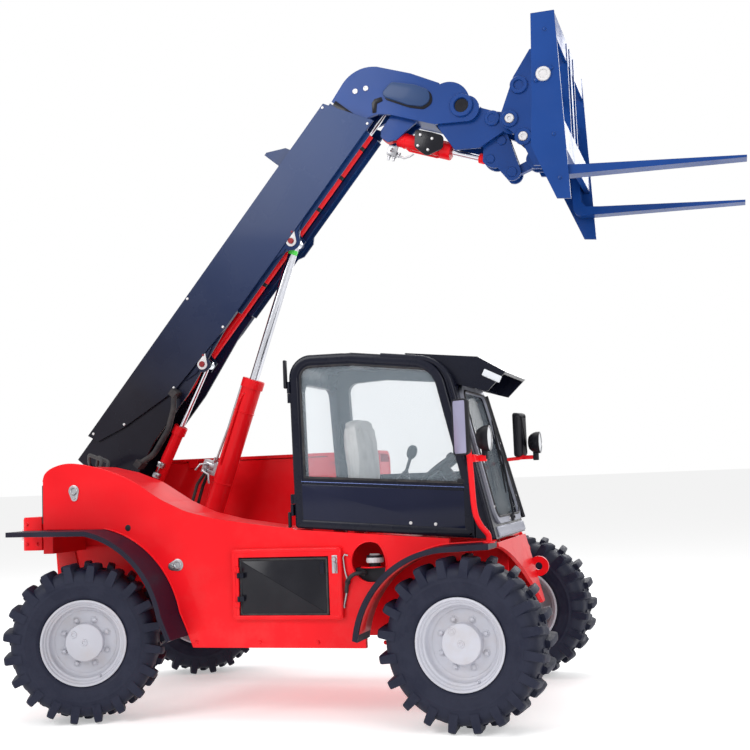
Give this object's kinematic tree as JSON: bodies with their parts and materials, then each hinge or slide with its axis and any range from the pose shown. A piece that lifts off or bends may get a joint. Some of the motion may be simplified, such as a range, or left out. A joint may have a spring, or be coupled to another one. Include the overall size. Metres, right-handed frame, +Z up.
{
  "type": "telehandler",
  "caption": "Compact telescopic handler with side cab, raised telescopic boom, tilting pallet fork carriage, four wheel steering and large lugged tyres.",
  "frame": {"origin": "on the ground, at the middle of the bounding box seen from above", "axes": "+X forward, +Y to the left of the machine, +Z up"},
  "size_m": [4.1662, 2.1278, 3.7164],
  "materials": {
    "black_plastic": "matte",
    "body_red": "gloss",
    "boom_paint": "gloss",
    "cab_paint": "satin",
    "chassis_black": "satin",
    "fender_plastic": "matte",
    "glass": "clear",
    "head_blue": "gloss",
    "hose_rubber": "matte",
    "lamp_glass": "clear",
    "rod_chrome": "polished",
    "screen_grey": "satin",
    "seat_cover": "woven",
    "steel": "satin",
    "tyre": "matte",
    "wheel_white": "gloss"
  },
  "bodies": {
    "chassis": {"chassis_frame": "body_red", "front_plate": "body_red", "counterweight": "body_red", "side_panel_right": "body_red", "side_panel_left": "body_red", "fenders": "fender_plastic", "side_box": "body_red", "hump_cover": "body_red", "fuel_filler": "black_plastic", "engine_bay": "body_red", "front_axle": "chassis_black", "rear_axle": "chassis_black", "cab_shell": "cab_paint", "windscreen": "glass", "windscreen_frame": "screen_grey", "cab_windows": "glass", "visor": "cab_paint", "seat": "seat_cover", "dash": "black_plastic", "steering_wheel": "black_plastic", "lever": "black_plastic", "mirrors": "black_plastic", "work_lights": "lamp_glass", "rear_lights": "lamp_glass", "hoses": "hose_rubber"},
    "door": {"door": "cab_paint", "door_glass": "glass"},
    "side_box_lid": {"side_box_lid": "cab_paint"},
    "hood": {"engine_hood": "body_red"},
    "boom": {"boom_outer": "boom_paint", "boom_covers": "boom_paint", "extension_barrel": "body_red", "boom_hoses": "hose_rubber"},
    "inner_boom": {"boom_inner": "head_blue", "extension_rod": "rod_chrome"},
    "carriage": {"carriage": "head_blue", "fork_left": "head_blue", "fork_right": "head_blue"},
    "crank": {"crank": "head_blue"},
    "tilt_link": {"tilt_link": "head_blue"},
    "tilt_barrel": {"tilt_barrel": "body_red"},
    "tilt_rod": {"tilt_rod": "rod_chrome"},
    "lift_barrel": {"lift_barrel": "body_red", "lift_valve": "steel", "lift_hoses": "hose_rubber"},
    "lift_rod": {"lift_rod": "rod_chrome"},
    "level_barrel": {"level_barrel": "body_red"},
    "level_rod": {"level_rod": "rod_chrome"},
    "knuckle_front_right": {"knuckle_front_right": "chassis_black"},
    "wheel_front_right": {"rim_front_right": "wheel_white", "tyre_front_right": "tyre"},
    "knuckle_front_left": {"knuckle_front_left": "chassis_black"},
    "wheel_front_left": {"rim_front_left": "wheel_white", "tyre_front_left": "tyre"},
    "knuckle_rear_right": {"knuckle_rear_right": "chassis_black"},
    "wheel_rear_right": {"rim_rear_right": "wheel_white", "tyre_rear_right": "tyre"},
    "knuckle_rear_left": {"knuckle_rear_left": "chassis_black"},
    "wheel_rear_left": {"rim_rear_left": "wheel_white", "tyre_rear_left": "tyre"}
  },
  "joints": [
    {"name": "front_right_steer", "type": "hinge", "parent": "chassis", "child": "knuckle_front_right", "pos_m": [0.63412, -0.691, 0.42], "axis": [0, 0, 1], "range_deg": [-25.3, 34.7]},
    {"name": "front_right_roll", "type": "hinge", "parent": "knuckle_front_right", "child": "wheel_front_right", "pos_m": [0.63412, -0.691, 0.42], "axis": [0.0819, 0.9966, 0], "continuous": true},
    {"name": "front_left_steer", "type": "hinge", "parent": "chassis", "child": "knuckle_front_left", "pos_m": [0.63412, 0.691, 0.42], "axis": [0, 0, 1], "range_deg": [-25.3, 34.7]},
    {"name": "front_left_roll", "type": "hinge", "parent": "knuckle_front_left", "child": "wheel_front_left", "pos_m": [0.63412, 0.691, 0.42], "axis": [0.0819, 0.9966, 0], "continuous": true},
    {"name": "rear_right_steer", "type": "hinge", "parent": "chassis", "child": "knuckle_rear_right", "pos_m": [-1.49888, -0.691, 0.42], "axis": [0, 0, 1], "range_deg": [-50.6, 9.4]},
    {"name": "rear_right_roll", "type": "hinge", "parent": "knuckle_rear_right", "child": "wheel_rear_right", "pos_m": [-1.49888, -0.691, 0.42], "axis": [-0.3518, 0.9361, 0], "continuous": true},
    {"name": "rear_left_steer", "type": "hinge", "parent": "chassis", "child": "knuckle_rear_left", "pos_m": [-1.49888, 0.691, 0.42], "axis": [0, 0, 1], "range_deg": [-50.6, 9.4]},
    {"name": "rear_left_roll", "type": "hinge", "parent": "knuckle_rear_left", "child": "wheel_rear_left", "pos_m": [-1.49888, 0.691, 0.42], "axis": [-0.3518, 0.9361, 0], "continuous": true},
    {"name": "boom_lift", "type": "hinge", "parent": "chassis", "child": "boom", "pos_m": [-1.82688, 0.3, 1.19], "axis": [0, -1, 0], "range_deg": [-50, 15]},
    {"name": "boom_extension", "type": "slide", "parent": "boom", "child": "inner_boom", "axis": [0.6481, 0, 0.7615], "range_m": [0, 1.9]},
    {"name": "carriage_tilt", "type": "hinge", "parent": "inner_boom", "child": "carriage", "pos_m": [0.80312, 0.3, 3.274], "axis": [0, -1, 0], "range_deg": [-30, 55]},
    {"name": "lift_barrel_swing", "type": "hinge", "parent": "chassis", "child": "lift_barrel", "pos_m": [-1.35488, 0.265, 0.62], "axis": [0, -1, 0], "range_deg": [-46.5, 14.3]},
    {"name": "lift_rod_slide", "type": "slide", "parent": "lift_barrel", "child": "lift_rod", "axis": [0.3472, 0, 0.9378], "range_m": [-0.6158, 0.1861]},
    {"name": "level_barrel_swing", "type": "hinge", "parent": "chassis", "child": "level_barrel", "pos_m": [-1.69188, 0.265, 1.035], "axis": [0, -1, 0], "range_deg": [-49.9, 15.3]},
    {"name": "level_rod_slide", "type": "slide", "parent": "level_barrel", "child": "level_rod", "axis": [0.461, 0, 0.8874], "range_m": [-0.1766, 0.0544]},
    {"name": "crank_swing", "type": "hinge", "parent": "inner_boom", "child": "crank", "pos_m": [0.68912, 0.3, 3.31], "axis": [0, -1, 0], "range_deg": [-22.9, 41.5]},
    {"name": "tilt_link_swing", "type": "hinge", "parent": "crank", "child": "tilt_link", "pos_m": [0.78412, 0.3, 2.986], "axis": [0, -1, 0], "range_deg": [-16.5, 9.2]},
    {"name": "tilt_barrel_swing", "type": "hinge", "parent": "inner_boom", "child": "tilt_barrel", "pos_m": [0.03312, 0.3, 3.3], "axis": [0, -1, 0], "range_deg": [-3.2, 5.4]},
    {"name": "tilt_rod_slide", "type": "slide", "parent": "tilt_barrel", "child": "tilt_rod", "axis": [0.9427, 0, -0.3338], "range_m": [-0.0847, 0.1536]},
    {"name": "door_hinge", "type": "hinge", "parent": "chassis", "child": "door", "pos_m": [-0.28988, -0.708, 1.4], "axis": [0, 0, -1], "range_deg": [0, 85]},
    {"name": "side_box_lid_hinge", "type": "hinge", "parent": "chassis", "child": "side_box_lid", "pos_m": [-0.58688, -0.752, 0.6895], "axis": [0, 0, -1], "range_deg": [0, 110]},
    {"name": "hood_hinge", "type": "hinge", "parent": "chassis", "child": "hood", "pos_m": [-0.96688, 0.47, 1.392], "axis": [1, 0, 0], "range_deg": [0, 60]}
  ],
  "couplings": [
    {"joint": "front_left_steer", "follows": "front_right_steer", "ratio": 1},
    {"joint": "rear_left_steer", "follows": "rear_right_steer", "ratio": 1},
    {"joint": "lift_barrel_swing", "follows": "boom_lift", "ratio": 0.91915},
    {"joint": "lift_rod_slide", "follows": "boom_lift", "m_per_rad": 0.70335},
    {"joint": "level_barrel_swing", "follows": "boom_lift", "ratio": 0.98891},
    {"joint": "level_rod_slide", "follows": "boom_lift", "m_per_rad": 0.20005},
    {"joint": "crank_swing", "follows": "carriage_tilt", "ratio": 0.7458},
    {"joint": "tilt_link_swing", "follows": "carriage_tilt", "ratio": -0.29099},
    {"joint": "tilt_barrel_swing", "follows": "carriage_tilt", "ratio": 0.08941},
    {"joint": "tilt_rod_slide", "follows": "carriage_tilt", "m_per_rad": 0.15789}
  ]
}
